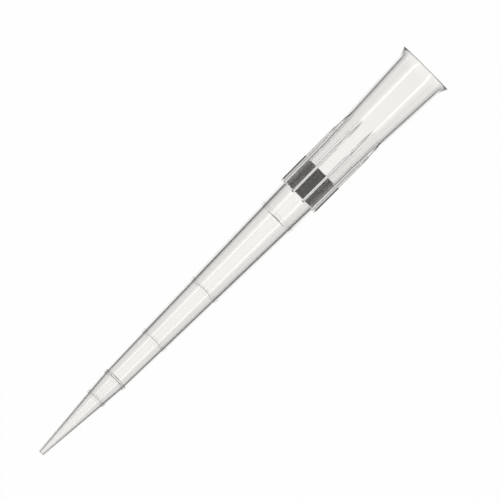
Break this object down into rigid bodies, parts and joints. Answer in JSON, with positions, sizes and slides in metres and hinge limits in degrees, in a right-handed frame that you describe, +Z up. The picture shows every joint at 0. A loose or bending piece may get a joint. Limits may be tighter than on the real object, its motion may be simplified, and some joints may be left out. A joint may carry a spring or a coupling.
{
  "type": "filter pipette tip",
  "caption": "Slender tapered pipette tip in clear plastic with raised volume rings, a ribbed collar, a flared rim and a dark porous filter plug inside.",
  "frame": {"origin": "on the surface that the tip lies on, under the middle of the tip's bounding box", "axes": "+X from the orifice to the rim, along the surface; +Z up; the tip's own axis lies in the XZ plane and rises 2.4 degrees towards the rim"},
  "size_m": [0.0602, 0.0068, 0.0069],
  "materials": {
    "clear_polypropylene": "gloss",
    "sintered_filter": "matte"
  },
  "bodies": {
    "root": {"tip_body": "clear_polypropylene", "filter_plug": "sintered_filter"}
  },
  "joints": []
}
